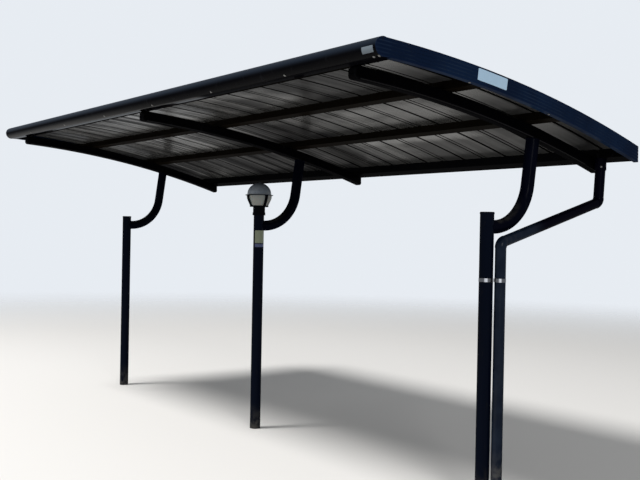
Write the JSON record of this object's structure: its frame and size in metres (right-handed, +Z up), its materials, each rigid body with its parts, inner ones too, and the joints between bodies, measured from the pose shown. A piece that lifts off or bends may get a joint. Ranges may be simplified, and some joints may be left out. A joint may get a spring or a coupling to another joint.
{
  "type": "bike shelter",
  "caption": "Open cantilevered bike shelter: round posts with bent arms carry a curved ribbed roof with gutter, downpipe and a post lamp.",
  "frame": {"origin": "middle of the foot of the middle post, on the ground", "axes": "+X along the shelter to the end with the downpipe, +Y from the front edge back to the gutter, +Z up"},
  "size_m": [5.012, 2.024, 2.33],
  "materials": {
    "black_paint": "black satin coated aluminium",
    "roof_sheet": "silver grey coated sheet, glossy underneath",
    "pipe_plastic": "charcoal rainwater pipe, slightly glossy",
    "clamp_steel": "bright stainless band",
    "lamp_glass": "off-white translucent globe",
    "lamp_dome": "blue grey dome"
  },
  "bodies": {
    "root": {"post_left": "black_paint", "post_middle": "black_paint", "post_right": "black_paint", "post_caps": "black_paint", "arm_left": "black_paint", "arm_middle": "black_paint", "arm_right": "black_paint", "rafter_left": "black_paint", "rafter_middle": "black_paint", "rafter_right": "black_paint", "rafter_front_caps": "black_paint", "rafter_rear_caps": "black_paint", "front_brackets": "black_paint", "purlin_front": "black_paint", "purlin_rear": "black_paint", "front_beam": "black_paint", "rear_gutter": "black_paint", "gable_left": "black_paint", "gable_right": "black_paint", "roof_panel_1": "roof_sheet", "roof_panel_2": "roof_sheet", "roof_panel_3": "roof_sheet", "roof_panel_4": "roof_sheet", "roof_panel_5": "roof_sheet", "roof_panel_6": "roof_sheet", "roof_panel_7": "roof_sheet", "roof_panel_8": "roof_sheet", "roof_panel_9": "roof_sheet", "roof_panel_10": "roof_sheet", "roof_panel_11": "roof_sheet", "roof_panel_12": "roof_sheet", "roof_panel_13": "roof_sheet", "roof_panel_14": "roof_sheet", "gutter_outlet": "pipe_plastic", "downpipe_drop": "pipe_plastic", "downpipe_elbow_top": "pipe_plastic", "downpipe_slope": "pipe_plastic", "downpipe_elbow_low": "pipe_plastic", "downpipe_fall": "pipe_plastic", "pipe_clamp": "clamp_steel", "lamp_socket": "black_paint", "lamp_cage": "black_paint", "lamp_glass": "lamp_glass", "lamp_dome": "lamp_dome"}
  },
  "joints": []
}
